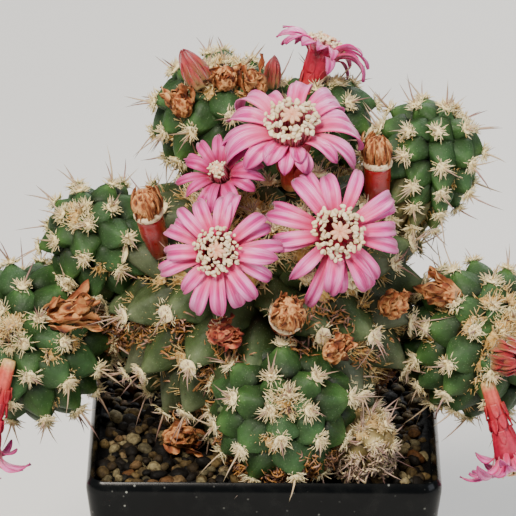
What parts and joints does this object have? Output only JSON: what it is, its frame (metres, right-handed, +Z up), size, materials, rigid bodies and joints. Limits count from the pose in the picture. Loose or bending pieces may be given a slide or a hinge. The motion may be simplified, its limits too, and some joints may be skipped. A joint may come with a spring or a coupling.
{
  "type": "potted round cactus",
  "caption": "Clump of round, spiny cactus heads with pink star flowers, red fruits and dried blooms, growing in gravel in a square black nursery pot.",
  "frame": {"origin": "middle of the underside of the pot", "axes": "+Z up, +X to the right and +Y to the back; the large flowers face -Y, one side of the pot is square to it"},
  "size_m": [0.1615, 0.0921, 0.1775],
  "materials": {
    "pot_plastic": "satin",
    "potting_mix": "matte",
    "gravel": "matte",
    "root_bark": "matte",
    "stem_skin": "satin",
    "petal": "satin",
    "floral_tube": "satin",
    "anther": "matte",
    "stigma": "satin",
    "berry": "gloss",
    "dried_flower": "matte"
  },
  "bodies": {
    "root": {"pot": "pot_plastic", "potting_mix": "potting_mix", "gravel_dressing": "gravel", "taproot": "root_bark", "stem_main": "stem_skin", "stem_front": "stem_skin", "stem_lower_left": "stem_skin", "stem_upper_left": "stem_skin", "stem_lower_right": "stem_skin", "stem_upper_right": "stem_skin", "stem_back_left": "stem_skin", "stem_back_right": "stem_skin", "stem_offset": "stem_skin", "flower_front_left_tube": "floral_tube", "flower_front_left_petals": "petal", "flower_front_left_stamens": "anther", "flower_front_left_pistil": "stigma", "flower_front_right_tube": "floral_tube", "flower_front_right_petals": "petal", "flower_front_right_stamens": "anther", "flower_front_right_pistil": "stigma", "flower_top_tube": "floral_tube", "flower_top_petals": "petal", "flower_top_stamens": "anther", "flower_top_pistil": "stigma", "flower_crown_tube": "floral_tube", "flower_crown_petals": "petal", "flower_crown_stamens": "anther", "flower_crown_pistil": "stigma", "flower_back_tube": "floral_tube", "flower_back_petals": "petal", "flower_back_stamens": "anther", "flower_back_pistil": "stigma", "flower_hanging_left_tube": "floral_tube", "flower_hanging_left_petals": "petal", "flower_hanging_left_stamens": "anther", "flower_hanging_left_pistil": "stigma", "flower_hanging_right_tube": "floral_tube", "flower_hanging_right_petals": "petal", "flower_hanging_right_stamens": "anther", "flower_hanging_right_pistil": "stigma", "bud_back_left": "floral_tube", "bud_back_centre": "floral_tube", "bud_right": "floral_tube", "fruit_left_berry": "berry", "fruit_left_cap": "dried_flower", "fruit_right_berry": "berry", "fruit_right_cap": "dried_flower", "fruit_front_berry": "berry", "fruit_front_cap": "dried_flower", "dried_flower_1": "dried_flower", "dried_flower_2": "dried_flower", "dried_flower_3": "dried_flower", "dried_flower_4": "dried_flower", "dried_flower_5": "dried_flower", "dried_flower_6": "dried_flower", "dried_flower_7": "dried_flower", "dried_flower_8": "dried_flower", "dried_flower_9": "dried_flower"}
  },
  "joints": []
}
